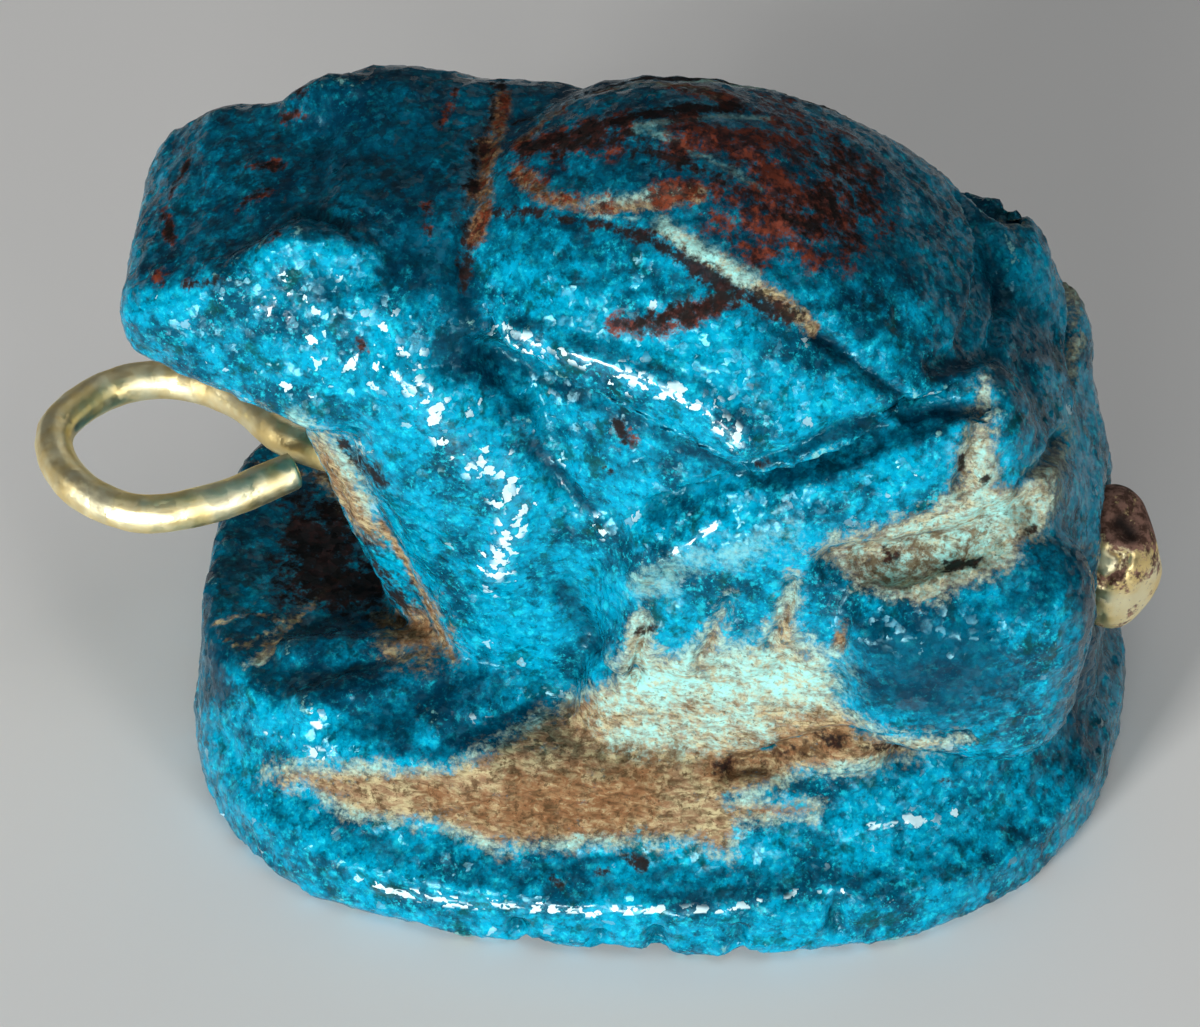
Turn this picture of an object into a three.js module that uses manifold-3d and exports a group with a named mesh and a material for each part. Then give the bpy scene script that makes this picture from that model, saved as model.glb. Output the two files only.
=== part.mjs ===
// Frog amulet: a crouching frog on a thick rounded plinth, carved and glazed as one solid.
// A gold wire runs lengthwise through its bore, with a loop under the chin and a knob behind.
// Millimetres. The head points to -X, the frog's left side to -Y, +Z is up.
// The origin is the centre of the plinth's flat underside.
import * as THREE from "three";
import { ConvexGeometry } from "three/addons/geometries/ConvexGeometry.js";
import { mergeVertices } from "three/addons/utils/BufferGeometryUtils.js";
import Module from "manifold-3d";

const wasm = await Module();
wasm.setup();

// Driving dimensions of the plinth: an upright band, then sides that lean in to a flat top.
const PLINTH_LENGTH = 18.3;
const PLINTH_WIDTH = 14.7;
const BAND_HEIGHT = 1.45;
const PLINTH_HEIGHT = 3.45;
const FRONT_SQUARENESS = 2.95;
const REAR_SQUARENESS = 2.35;
const SIDE_LEAN = 1.95;
const FRONT_LEAN = 0.1;
const REAR_LEAN = 0.85;
const FOOT_ROUND = 0.25;
const RIM_ROUND = 0.12;
const PLINTH_SIDES = 48;
const TRIM_FACETS = 16;

// Driving dimensions of the frog.
const BACK_HEIGHT = 15.35;
const BODY_HALF_WIDTH = 5.25;
const BODY_BELLY_HEIGHT = 6.9;
const REAR_REACH = 8.7;
const SNOUT_REACH = 10.45;
const SNOUT_HALF_WIDTH = 2.5;
const LIP_RADIUS = 0.75;
const SNOUT_HEIGHT = 11.15;
const BROW_HEIGHT = 13.8;
const BROW_HALF_SPREAD = 2.4;
const BROW_EDGE = 0.35;
const FAR_LOBE_SHIFT = 0.7;
const NECK_GROOVE_X = -3.6;
const GROOVE_DEPTH = 0.35;
const NECK_LINE_DEPTH = 0.2;
const GROOVE_HALF_WIDTH = 0.3;
const GROOVE_BOTTOM = 0.1;
const STROKE_DEPTH = 0.3;
const STROKE_RADIUS = 0.45;

// Driving dimensions of the wire and its bore.
const WIRE_RADIUS = 0.4;
const BORE_RADIUS = 0.72;
const BORE_FRONT = 5.95;
const BORE_REAR = 5.0;
const LOOP_REACH = 12.15;
const LOOP_HALF_WIDTH = 1.95;
const WIRE_SIDES = 10;
const LOOP_STEPS = 36;
const KNOB_GAP = 0.3;

const SMALL = 1e-6;
const FAR_AWAY = 20;

// Turns a closed geometry into a solid: shared vertices are merged and empty triangles dropped.
function solid(geometry) {
  const plain = geometry.clone();
  plain.deleteAttribute("normal");
  plain.deleteAttribute("uv");
  const merged = mergeVertices(plain, 1e-4);
  const index = merged.index.array;
  const kept = [];
  for (let i = 0; i < index.length; i += 3) {
    const [a, b, c] = [index[i], index[i + 1], index[i + 2]];
    if (a !== b && b !== c && c !== a) kept.push(a, b, c);
  }
  const vertProperties = merged.attributes.position.array;
  return new wasm.Manifold(new wasm.Mesh({ numProp: 3, vertProperties, triVerts: new Uint32Array(kept) }));
}

// Turns a solid back into a geometry.
function geometryOf(body) {
  const mesh = body.getMesh();
  const geometry = new THREE.BufferGeometry();
  geometry.setAttribute("position", new THREE.BufferAttribute(mesh.vertProperties, 3));
  geometry.setIndex(new THREE.BufferAttribute(mesh.triVerts, 1));
  geometry.computeVertexNormals();
  return geometry;
}

const joined = (bodies) => bodies.reduce((whole, body) => whole.add(body));
const mirrored = (balls) => balls.map(([x, y, z, r]) => [x, -y, z, r]);

// The tight skin around some balls, each [x, y, z, radius].
function skin(balls, around = 12, high = 8) {
  const points = [];
  for (const [x, y, z, r] of balls) {
    const ball = new THREE.SphereGeometry(r, around, high).attributes.position;
    for (let i = 0; i < ball.count; i++) {
      points.push(new THREE.Vector3(ball.getX(i) + x, ball.getZ(i) + y, ball.getY(i) + z));
    }
  }
  return solid(new ConvexGeometry(points));
}

// A limb: each ball is joined to the next by a skin.
function limb(balls, around = 12, high = 8) {
  return joined(balls.slice(1).map((ball, i) => skin([balls[i], ball], around, high)));
}

// The same limb on both sides of the frog.
const bothSides = (balls, make = limb, ...rest) => make(balls, ...rest).add(make(mirrored(balls), ...rest));

// A power of a sine or cosine that keeps its sign, for outlines between an oval and a rectangle.
const rounded = (value, squareness) => Math.sign(value) * Math.abs(value) ** (2 / squareness);

// The plinth: a turned profile whose rings are rounded rectangles.
function plinth() {
  const half = PLINTH_LENGTH / 2;
  const side = PLINTH_WIDTH / 2;
  const top = PLINTH_HEIGHT;
  const rings = [
    { z: 0, front: half - 0.2, rear: half - 0.2, side: side - 0.2 },
    { z: FOOT_ROUND, front: half, rear: half, side },
    { z: BAND_HEIGHT - RIM_ROUND, front: half, rear: half, side },
    { z: BAND_HEIGHT, front: half - 0.06, rear: half - 0.1, side: side - RIM_ROUND },
    { z: BAND_HEIGHT + 0.5, front: half - 0.08, rear: half - 0.4, side: side - 0.75 },
    { z: top - 0.25, front: half - FRONT_LEAN, rear: half - REAR_LEAN, side: side - SIDE_LEAN + 0.3 },
    { z: top, front: half - FRONT_LEAN - 0.2, rear: half - REAR_LEAN - 0.3, side: side - SIDE_LEAN - 0.1 },
  ];
  const profile = rings.map((ring, i) => new THREE.Vector2(1, i));
  profile.unshift(new THREE.Vector2(0, 0));
  profile.push(new THREE.Vector2(0, rings.length - 1));
  const geometry = new THREE.LatheGeometry(profile, PLINTH_SIDES);
  const at = geometry.attributes.position;
  for (let i = 0; i < at.count; i++) {
    const ring = rings[Math.round(at.getY(i))];
    const [across, along] = [at.getX(i), at.getZ(i)];
    const reach = along < 0 ? ring.front : ring.rear;
    const squareness = along < 0 ? FRONT_SQUARENESS : REAR_SQUARENESS;
    const x = reach * rounded(along, squareness);
    const y = ring.side * rounded(across, squareness);
    at.setXYZ(i, x, y, ring.z);
  }
  return solid(geometry).intersect(edgeTrim(half - 0.2, side - 0.2));
}

// The lower edge is trimmed in flat facets, as with a knife, so the plinth stands on a plain polygon.
function edgeTrim(half, side) {
  const points = [];
  for (let i = 0; i < TRIM_FACETS; i++) {
    const turn = ((i + 0.5) / TRIM_FACETS) * 2 * Math.PI;
    const [along, across] = [Math.cos(turn), Math.sin(turn)];
    const squareness = along < 0 ? FRONT_SQUARENESS : REAR_SQUARENESS;
    const x = half * rounded(along, squareness);
    const y = side * rounded(across, squareness);
    points.push(new THREE.Vector3(x, y, 0), new THREE.Vector3(2 * x, 2 * y, side));
  }
  return solid(new ConvexGeometry(points));
}

// A body lofted along X. Each station is [x, half width, top]; the flanks are widest at `belly`.
function loft(stations, { belly, floor, squareness, rings = 17, sides = 26 }) {
  const line = new THREE.CatmullRomCurve3(stations.map((s) => new THREE.Vector3(...s)));
  const profile = [new THREE.Vector2(0, 0)];
  for (let i = 0; i <= rings; i++) profile.push(new THREE.Vector2(1, i));
  profile.push(new THREE.Vector2(0, rings));
  const geometry = new THREE.LatheGeometry(profile, sides);
  const at = geometry.attributes.position;
  for (let i = 0; i < at.count; i++) {
    const here = line.getPoint(Math.round(at.getY(i)) / rings);
    const [c, s] = [at.getX(i), at.getZ(i)];
    const radius = Math.hypot(c, s);
    const across = radius < SMALL ? 0 : rounded(c, squareness);
    const up = radius < SMALL ? 0 : rounded(s, squareness);
    const middle = Math.min(belly, here.z - 1);
    const rise = up > 0 ? here.z - middle : middle - floor;
    at.setXYZ(i, here.x, -here.y * across, middle + rise * up);
  }
  return solid(geometry);
}

// A flat slab of a side-view outline, [x, z] points, right through the body.
function sideSlab(points, halfThickness) {
  const shape = new THREE.Shape(points.map(([x, z]) => new THREE.Vector2(x, z)));
  const slab = new THREE.ExtrudeGeometry(shape, { depth: 2 * halfThickness, bevelEnabled: false });
  slab.rotateX(Math.PI / 2);
  slab.translate(0, halfThickness, 0);
  return solid(slab);
}

// Where a straight line from outside first meets the body.
function touch(body, from, toward) {
  const mesh = new THREE.Mesh(geometryOf(body), new THREE.MeshBasicMaterial({ side: THREE.DoubleSide }));
  const ray = new THREE.Raycaster(new THREE.Vector3(...from), new THREE.Vector3(...toward).normalize());
  const hit = ray.intersectObject(mesh)[0];
  return hit ? hit.point : null;
}

// A carved groove, narrow at its bottom, along the points where the lines of sight meet the body.
function groove(body, froms, toward, depth = GROOVE_DEPTH) {
  const way = new THREE.Vector3(...toward).normalize();
  const stations = froms.map((from) => touch(body, from, toward)).filter((point) => point);
  const cut = (point) => {
    const inner = point.clone().addScaledVector(way, depth - GROOVE_BOTTOM);
    const outer = point.clone().addScaledVector(way, -GROOVE_HALF_WIDTH);
    return [[...inner, GROOVE_BOTTOM], [...outer, GROOVE_HALF_WIDTH]];
  };
  const blades = stations.slice(1).map((point, i) => skin([...cut(stations[i]), ...cut(point)], 8, 6));
  return joined(blades);
}

// The stations of the frog's body: the neck, the top of the back, then the rump.
const backStations = [
  [-5.4, 2.8, 13.0],
  [-3.6, 4.0, 13.95],
  [-1.8, 4.7, BACK_HEIGHT - 0.45],
  [0.2, 5.0, BACK_HEIGHT],
  [2.4, BODY_HALF_WIDTH, BACK_HEIGHT - 0.55],
  [4.6, BODY_HALF_WIDTH - 0.1, 13.4],
  [6.2, 4.7, 11.8],
  [7.5, 4.0, 10.1],
  [8.3, 3.0, 8.7],
  [REAR_REACH, 1.6, 7.4],
];
// The flank under it stands back from the back's lower edge, most of all behind the foreleg.
const flankStations = [
  [-5.2, 1.8, 12.6],
  [-3.6, 2.8, 13.5],
  [-1.6, 3.75, BACK_HEIGHT - 0.9],
  [0.2, 4.35, BACK_HEIGHT - 0.5],
  [2.4, BODY_HALF_WIDTH - 0.6, BACK_HEIGHT - 1.0],
  [4.6, BODY_HALF_WIDTH - 0.6, 12.9],
  [6.2, 4.2, 11.4],
  [7.5, 3.6, 9.8],
  [8.2, 2.7, 8.4],
  [REAR_REACH, 1.4, 7.2],
];
const bodyShape = { belly: BODY_BELLY_HEIGHT, floor: 1.2, squareness: 2.25 };

// The back: its lower edge is a V in side view, and it stands a step proud of the flank.
function back() {
  const belowBack = [
    [-9, 13.9],
    [-3.4, 12.75],
    [2.2, 10.65],
    [6.6, 12.1],
    [11, 14.5],
    [11, 0],
    [-9, 0],
  ];
  return loft(backStations, bodyShape).subtract(sideSlab(belowBack, 9));
}

function flank() {
  return loft(flankStations, bodyShape);
}

// The head: a broad flat wedge with an upright cheek on each side and a jaw that overhangs the
// plinth's front. The cheek's upper edge is quite sharp and rises to a brow over the eye.
function head() {
  const lipX = -SNOUT_REACH + LIP_RADIUS;
  const lipY = SNOUT_HALF_WIDTH - LIP_RADIUS;
  const edgeY = BROW_HALF_SPREAD - BROW_EDGE;
  const lip = [lipX, lipY, SNOUT_HEIGHT, LIP_RADIUS];
  const jaw = [-6.4, 2.65, 10.3, 0.9];
  const cheekRear = [-4.8, 2.4, 10.6, 1.3];
  const wedge = [
    lip,
    [lipX, lipY - 0.05, SNOUT_HEIGHT - 0.5, LIP_RADIUS],
    [-8.4, edgeY + 0.15, BROW_HEIGHT - 1.45, BROW_EDGE],
    jaw,
    cheekRear,
    [-6.9, 1.5, BROW_HEIGHT - 1.4, 0.9],
    [-4.4, 1.9, BROW_HEIGHT - 1.8, 1.5],
  ];
  const brow = [
    jaw,
    cheekRear,
    [-8.4, edgeY + 0.15, BROW_HEIGHT - 1.45, BROW_EDGE],
    [-6.95, edgeY, BROW_HEIGHT - BROW_EDGE, BROW_EDGE],
    [-5.8, edgeY, BROW_HEIGHT - BROW_EDGE, BROW_EDGE],
    [-4.6, edgeY + 0.3, BROW_HEIGHT - 1.4, BROW_EDGE],
    [-6.4, 0.9, BROW_HEIGHT - 1.5, 0.8],
  ];
  // The head isn't quite even: its far side is fuller at the snout's corner and at the nape.
  const farCorner = [
    [-9.7, 2.25, 11.45, 0.6],
    [-8.9, 2.2, 12.35, 0.5],
  ];
  const nape = [
    [-5.6, -1.1, 12.25, 1.5],
    [-2.4, -1.1, 12.55, 1.4],
    [-5.6, 2.1, 12.3, 1.5],
    [-2.4, 2.0, 12.6, 1.4],
    [-3.2, -1.1, 10.0, 1.4],
    [-3.2, 1.7, 10.0, 1.4],
  ];
  const skull = skin([...wedge, ...mirrored(wedge), ...farCorner], 14, 10);
  return joined([skull, skin(nape, 14, 10), bothSides(brow, skin, 14, 10)]);
}

// The throat: it slopes back from the jaw to the foot of the chest.
function throat() {
  const balls = [
    [-5.9, 1.1, 9.2, 1.4],
    [-4.6, 1.2, 6.0, 1.5],
    [-3.2, 1.2, 2.6, 1.5],
    [-2.2, 1.6, 8.5, 1.6],
  ];
  return skin([...balls, ...mirrored(balls)]);
}

// A foreleg: a broad slab from the cheek down to the plinth, then toes that fan out in front.
// Its rear edge runs down from the brow and stands proud of the flank.
function forelegs() {
  const leg = [
    [-4.7, -2.35, 10.9, 1.5],
    [-4.0, -2.35, 9.0, 1.85],
    [-3.1, -2.1, 6.7, 1.85],
    [-2.5, -1.9, 3.6, 1.8],
  ];
  const rearEdge = [
    [-4.3, -2.7, 11.6, BROW_EDGE],
    [-2.45, -3.4, 10.4, BROW_EDGE],
    [-1.7, -3.6, 8.0, BROW_EDGE],
    [-1.2, -3.4, 3.6, BROW_EDGE],
  ];
  const parts = leg.slice(1).map((ball, i) => bothSides([leg[i], ball, rearEdge[i], rearEdge[i + 1]], skin));
  const wrist = [-2.4, -2.9, 3.35, 1.0];
  const toeTips = [
    [-4.0, -4.75],
    [-6.4, -4.4],
    [-6.9, -3.1],
  ];
  const balls = toeTips.map(([x, y]) => [x, y, 3.2, 0.55]);
  for (const ball of balls) parts.push(bothSides([wrist, ball], limb, 10, 6));
  const web = [wrist, ...balls].map(([x, y, z, r]) => [x, y, z - 0.12, r * 0.85]);
  parts.push(bothSides(web, skin, 10, 6));
  return joined(parts);
}

// A hind leg: the shin runs down from the hip to a foot whose toes rest high on a block.
function hindLegs() {
  const shin = [
    [5.9, -2.2, 10.15, 1.6],
    [3.4, -3.1, 9.2, 1.8],
    [0.9, -3.3, 7.9, 1.7],
  ];
  const instep = [
    ...shin.slice(1),
    [0.2, -3.9, 6.4, 1.05],
    [3.8, -3.8, 7.1, 1.15],
  ];
  const footBlock = [
    [0.2, -4.0, 6.2, 0.95],
    [3.8, -4.0, 6.9, 1.0],
    [-0.4, -4.0, 3.6, 0.9],
    [4.2, -4.3, 3.6, 0.9],
  ];
  const parts = [bothSides(shin), bothSides(instep, skin), bothSides(footBlock, skin)];
  const toes = 4;
  const toeSpacing = 1.22;
  for (let i = 0; i < toes; i++) {
    const tipX = -0.15 + toeSpacing * i;
    const toe = [
      [tipX + 1.1, -4.4, 7.4 + 0.12 * i, 0.66],
      [tipX, -4.7, 5.9 + 0.12 * i, 0.55],
    ];
    parts.push(bothSides(toe, limb, 10, 6));
  }
  return joined(parts);
}

// A haunch: the rump above, and the lower lobe beside the plinth that tucks in under the shin.
// The carving isn't quite even, and the far lobe sits a little further forward.
function haunches() {
  const rump = [
    [5.9, -2.1, 9.75, 1.6],
    [6.45, -2.4, 8.6, 1.7],
    [6.85, -1.2, 7.4, 1.65],
  ];
  const lobe = [
    [5.0, -4.35, 7.0, 1.3],
    [7.2, -3.6, 7.1, 1.7],
    [6.8, -3.3, 4.8, 1.8],
    [5.1, -4.2, 5.3, 1.35],
  ];
  const farLobe = mirrored(lobe).map(([x, y, z, r]) => [x - FAR_LOBE_SHIFT, y, z, r]);
  return joined([bothSides(rump, skin), skin(lobe, 14, 10), skin(farLobe)]);
}

// The wire's own line: from the knob through the bore, round the loop and back beside itself.
function wirePath() {
  const points = [
    [8.9, 0, BORE_REAR],
    [-6.3, 0, BORE_FRONT],
    [-7.5, 0.35, 6.0],
    [-8.7, 1.45, 5.95],
    [-10.1, LOOP_HALF_WIDTH, 5.85],
    [-11.4, 1.45, 5.8],
    [-LOOP_REACH, 0.1, 5.8],
    [-11.5, -1.3, 5.8],
    [-10.2, -LOOP_HALF_WIDTH, 5.8],
    [-8.7, -1.55, 5.9],
    [-7.2, -0.72, 6.2],
  ];
  return points.map((point) => new THREE.Vector3(...point));
}

function tube(path, steps) {
  const round = new THREE.Shape().absarc(0, 0, WIRE_RADIUS, 0, 2 * Math.PI);
  const options = { steps, extrudePath: path, curveSegments: WIRE_SIDES / 2, bevelEnabled: false };
  return solid(new THREE.ExtrudeGeometry(round, options));
}

// The knob: gold melted back on the wire's end, lumpy and a little taller than it is wide.
function knob(grow = 0) {
  const lumps = [
    [8.95, 0.1, 4.6, 0.95],
    [9.0, -0.2, 5.3, 0.85],
    [8.85, 0.35, 5.7, 0.7],
    [8.9, -0.3, 4.3, 0.7],
  ];
  return skin(lumps.map(([x, y, z, r]) => [x, y, z, r + grow]));
}

function goldWire() {
  const points = wirePath();
  const straight = new THREE.LineCurve3(points[0], points[1]);
  const loop = new THREE.CatmullRomCurve3(points.slice(1));
  const inBore = points[1].clone().lerp(points[0], 0.02);
  const joint = skin([[...points[1], WIRE_RADIUS], [...inBore, WIRE_RADIUS]], WIRE_SIDES, 8);
  return joined([tube(straight, 1), tube(loop, LOOP_STEPS), joint, knob()]);
}

function bore() {
  const [rear, front] = wirePath();
  const along = rear.clone().sub(front).normalize();
  const outRear = rear.clone().addScaledVector(along, 3);
  const outFront = front.clone().addScaledVector(along, -2.2);
  return limb([[...outFront, BORE_RADIUS], [...outRear, BORE_RADIUS]], 16, 8).add(knob(KNOB_GAP));
}

// Grooves that part the back from the thigh on each side, and the head from the back.
function carving(body) {
  const thighLine = [[0.2, 9.2], [2.2, 10.35], [4.6, 11.1], [6.5, 11.6]];
  const neckLine = [-2.5, -1.2, 0, 0.9].map((y) => [NECK_GROOVE_X, y, FAR_AWAY]);
  const cuts = [groove(body, neckLine, [0, 0, -1], NECK_LINE_DEPTH)];
  for (const side of [-1, 1]) {
    const froms = thighLine.map(([x, z]) => [x, side * FAR_AWAY, z]);
    cuts.push(groove(body, froms, [0, -side, 0]));
  }
  return joined(cuts);
}

// Rows of plain shallow strokes on the underside. The middle ones reach the near and far edges.
function undersideStrokes() {
  const strokes = [];
  const strokeXs = [-5.4, -4.2, -3.0, -1.6, -0.2, 0.8, 2.5, 3.8, 5.2];
  const [start, shortEnd, longEnd] = [3.2, 5.4, PLINTH_WIDTH / 2 + 0.5];
  const z = STROKE_DEPTH - STROKE_RADIUS;
  for (const x of strokeXs) {
    for (const side of [-1, 1]) {
      const end = Math.abs(x) < 2.8 ? longEnd : shortEnd;
      strokes.push(limb([[x, side * start, z, STROKE_RADIUS], [x, side * end, z, STROKE_RADIUS]], 8, 6));
    }
  }
  return joined(strokes);
}

function frogBody() {
  const forms = [plinth(), flank(), back(), head(), throat(), forelegs(), hindLegs(), haunches()];
  const body = joined(forms);
  return body.subtract(carving(body)).subtract(undersideStrokes()).subtract(bore());
}

function named(name, body, material) {
  const mesh = new THREE.Mesh(geometryOf(body), material);
  mesh.name = name;
  return mesh;
}

const glaze = new THREE.MeshStandardMaterial({ color: 0x0f86b5, roughness: 0.35, metalness: 0 });
const gold = new THREE.MeshStandardMaterial({ color: 0xd4b45c, roughness: 0.35, metalness: 1 });

const amulet = new THREE.Group();
amulet.add(named("frog_body", frogBody(), glaze));
amulet.add(named("gold_wire", goldWire(), gold));

export default amulet;
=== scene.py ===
# %% [markdown]
# # A glazed frog amulet on a gold wire
# The real object is a little frog, about two centimetres long, carved with its thick plinth from one
# piece and covered with a bright blue glaze. A gold wire runs through it from the chin to the tail.
# The exact solids of both pieces are loaded first. They fix every size and place. What is added here
# is the surface: softened edges, finer carving, the sugary glaze, its worn and dirty places, and gold.

# %% Load the solids
import math

import bpy
import numpy as np
from mathutils import Matrix, Vector
from mathutils.bvhtree import BVHTree


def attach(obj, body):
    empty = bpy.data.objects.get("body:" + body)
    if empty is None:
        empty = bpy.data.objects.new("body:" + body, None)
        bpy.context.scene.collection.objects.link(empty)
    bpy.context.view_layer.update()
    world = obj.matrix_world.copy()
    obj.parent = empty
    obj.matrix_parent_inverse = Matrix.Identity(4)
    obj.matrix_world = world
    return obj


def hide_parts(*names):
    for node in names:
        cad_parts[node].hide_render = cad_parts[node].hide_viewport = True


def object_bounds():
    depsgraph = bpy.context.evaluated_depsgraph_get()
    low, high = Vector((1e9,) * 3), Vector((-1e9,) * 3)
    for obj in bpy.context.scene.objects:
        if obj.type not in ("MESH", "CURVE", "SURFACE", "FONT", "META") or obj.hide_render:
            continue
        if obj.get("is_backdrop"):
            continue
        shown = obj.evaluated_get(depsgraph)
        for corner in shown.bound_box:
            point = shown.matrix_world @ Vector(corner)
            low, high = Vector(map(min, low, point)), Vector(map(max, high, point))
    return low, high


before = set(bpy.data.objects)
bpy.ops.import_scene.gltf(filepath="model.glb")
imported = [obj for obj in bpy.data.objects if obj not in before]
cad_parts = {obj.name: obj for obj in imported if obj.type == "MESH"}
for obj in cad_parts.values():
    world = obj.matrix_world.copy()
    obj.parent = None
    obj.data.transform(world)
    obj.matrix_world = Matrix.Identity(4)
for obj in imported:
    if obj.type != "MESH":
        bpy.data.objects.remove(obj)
cad_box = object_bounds()
MM = 0.001
print("nodes:", sorted(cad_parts))
print("box in mm:", [[round(v / MM, 2) for v in corner] for corner in cad_box])

# %% [markdown]
# ## The camera
# A camera could be placed by eye. Here its direction is known, so it is worked out instead: it looks
# down at 43 degrees, and stands a little round towards the tail. A long lens from 30 centimetres away
# keeps the perspective as mild as in a close-up of a small find. One point of the plinth is pinned to
# one pixel, and the scale is given in pixels for each millimetre.

# %% Camera
IMAGE_WIDTH = 1200
IMAGE_HEIGHT = 1027
AZIMUTH = math.radians(7)
ELEVATION = math.radians(43)
PIXELS_PER_MM = 50.3
DISTANCE = 300
PINNED_POINT = Vector((0, 0, 1.45))
PINNED_PIXEL = (663, 650)
SENSOR = 36

to_right = Vector((math.cos(AZIMUTH), math.sin(AZIMUTH), 0))
to_camera = Vector((
    math.sin(AZIMUTH) * math.cos(ELEVATION),
    -math.cos(AZIMUTH) * math.cos(ELEVATION),
    math.sin(ELEVATION),
))
to_top = to_camera.cross(to_right)
view_centre = (
    PINNED_POINT
    + to_right * ((IMAGE_WIDTH / 2 - PINNED_PIXEL[0]) / PIXELS_PER_MM)
    + to_top * ((PINNED_PIXEL[1] - IMAGE_HEIGHT / 2) / PIXELS_PER_MM)
)
eye_point = view_centre + to_camera * DISTANCE

lens = bpy.data.cameras.new("close_up_lens")
lens.sensor_width = SENSOR
lens.lens = SENSOR * DISTANCE * PIXELS_PER_MM / IMAGE_WIDTH
lens.clip_start = 0.01
lens.clip_end = 10
camera = bpy.data.objects.new("close_up", lens)
bpy.context.scene.collection.objects.link(camera)
camera.location = eye_point * MM
camera.rotation_euler = Matrix((to_right, to_top, to_camera)).transposed().to_euler()
bpy.context.scene.camera = camera
print("lens in mm:", round(lens.lens, 1))


# %% [markdown]
# ## Working in millimetres
# Blender's sculpting tools and textures behave best when a piece is a few units across, so the copy
# of the solid is worked in millimetres and brought back to metres when it is done.
# The carved frog starts as a copy of the exact solid. Its loose triangles are merged into one skin.
# Then a voxel remesh gives it an even skin, fine enough for the small carving, and a few rounds of
# smoothing take the facets and the sharp joints away, as sanding and a coat of glaze do.

# %% A helper that applies one modifier
def apply_modifier(piece, kind, **settings):
    bpy.ops.object.select_all(action="DESELECT")
    piece.select_set(True)
    bpy.context.view_layer.objects.active = piece
    modifier = piece.modifiers.new(kind.lower(), kind)
    for name, value in settings.items():
        setattr(modifier, name, value)
    bpy.ops.object.modifier_apply(modifier=modifier.name)


# %% A helper that copies a solid and merges its skin
def working_copy(node, name):
    bpy.ops.object.select_all(action="DESELECT")
    piece = bpy.data.objects.new(name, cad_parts[node].data.copy())
    piece.data.materials.clear()
    bpy.context.scene.collection.objects.link(piece)
    piece.select_set(True)
    bpy.context.view_layer.objects.active = piece
    piece.scale = (1 / MM, 1 / MM, 1 / MM)
    bpy.ops.object.transform_apply(location=False, rotation=False, scale=True)
    bpy.ops.object.mode_set(mode="EDIT")
    bpy.ops.mesh.select_all(action="SELECT")
    bpy.ops.mesh.remove_doubles(threshold=0.002)
    bpy.ops.object.mode_set(mode="OBJECT")
    return piece


# %% The frog's even skin
SKIN_VOXEL = 0.126
frog = working_copy("frog_body", "glazed_frog")
apply_modifier(frog, "REMESH", mode="VOXEL", voxel_size=SKIN_VOXEL)
apply_modifier(frog, "SMOOTH", factor=0.5, iterations=4)
print("frog skin:", len(frog.data.vertices), "points")


# %% [markdown]
# ## Reading and marking the skin
# The marks that a carver leaves are placed by where they show in the picture's frame. A line of sight
# through a pixel meets the skin at one point, so a stroke drawn over the picture becomes a stroke on
# the stone, and it stays where it is when the camera moves. Each stroke gives every point of the skin
# a weight from 0 to 1, by how near it lies.

# %% Points, normals and lines of sight
def points_of(piece):
    flat = np.empty(len(piece.data.vertices) * 3, dtype=np.float64)
    piece.data.vertices.foreach_get("co", flat)
    return flat.reshape(-1, 3)


def normals_of(piece):
    flat = np.empty(len(piece.data.vertices) * 3, dtype=np.float64)
    piece.data.vertices.foreach_get("normal", flat)
    return flat.reshape(-1, 3)


def skin_tree(piece):
    polygons = [polygon.vertices[:] for polygon in piece.data.polygons]
    return BVHTree.FromPolygons([vertex.co for vertex in piece.data.vertices], polygons)


def sight(tree, x, y):
    across = to_right * ((x - IMAGE_WIDTH / 2) / PIXELS_PER_MM)
    down = to_top * ((y - IMAGE_HEIGHT / 2) / PIXELS_PER_MM)
    hit = tree.ray_cast(eye_point, (view_centre + across - down - eye_point).normalized())[0]
    return hit


# %% Strokes and their weights
STEPS_ALONG = 5


def on_skin(tree, pixels):
    """The points of the skin under a stroke, with more between them so that it follows the form."""
    points = []
    for (x0, y0), (x1, y1) in zip(pixels, pixels[1:]):
        for step in range(STEPS_ALONG + 1):
            part = step / STEPS_ALONG
            hit = sight(tree, x0 + (x1 - x0) * part, y0 + (y1 - y0) * part)
            if hit is not None:
                points.append(tuple(hit))
    return np.array(points)


def nearness(points, stroke, reach):
    """1 on the stroke, 0 at `reach` and beyond, easing between. The stroke is a line of points."""
    best = np.full(len(points), np.inf)
    for start, end in zip(stroke, stroke[1:]):
        along = end - start
        length = max(float(along @ along), 1e-9)
        part = np.clip(((points - start) @ along) / length, 0, 1)
        best = np.minimum(best, np.linalg.norm(points - start - part[:, None] * along, axis=1))
    closeness = np.clip(1 - best / reach, 0, 1)
    return closeness * closeness * (3 - 2 * closeness)


def other_side(stroke):
    return stroke * np.array((1, -1, 1))


# %% Helpers that push the skin in or out, or soften it, where it is marked
FAINTEST = 0.004


def on_marked(piece, weights, kind, **settings):
    """Applies a modifier only where the weights are, in their strength."""
    group = piece.vertex_groups.new(name="marked")
    for index in np.nonzero(weights > FAINTEST)[0]:
        group.add([int(index)], float(weights[index]), "REPLACE")
    apply_modifier(piece, kind, vertex_group="marked", **settings)
    piece.vertex_groups.remove(piece.vertex_groups["marked"])


def push(piece, weights, height):
    on_marked(piece, weights, "DISPLACE", direction="NORMAL", strength=height, mid_level=0)


def soften(piece, weights, rounds):
    on_marked(piece, weights, "SMOOTH", factor=0.5, iterations=rounds)


# %% [markdown]
# ## The finer carving
# Each groove was cut with a small graver: it is narrow, its edges are soft under the glaze, and it
# fades at its ends. A boolean cut would leave hard edges, so the skin is pushed in by a weight
# instead. The far side gets the same strokes mirrored, because the carver made both sides alike.
# A height above zero raises a crest.

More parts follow.
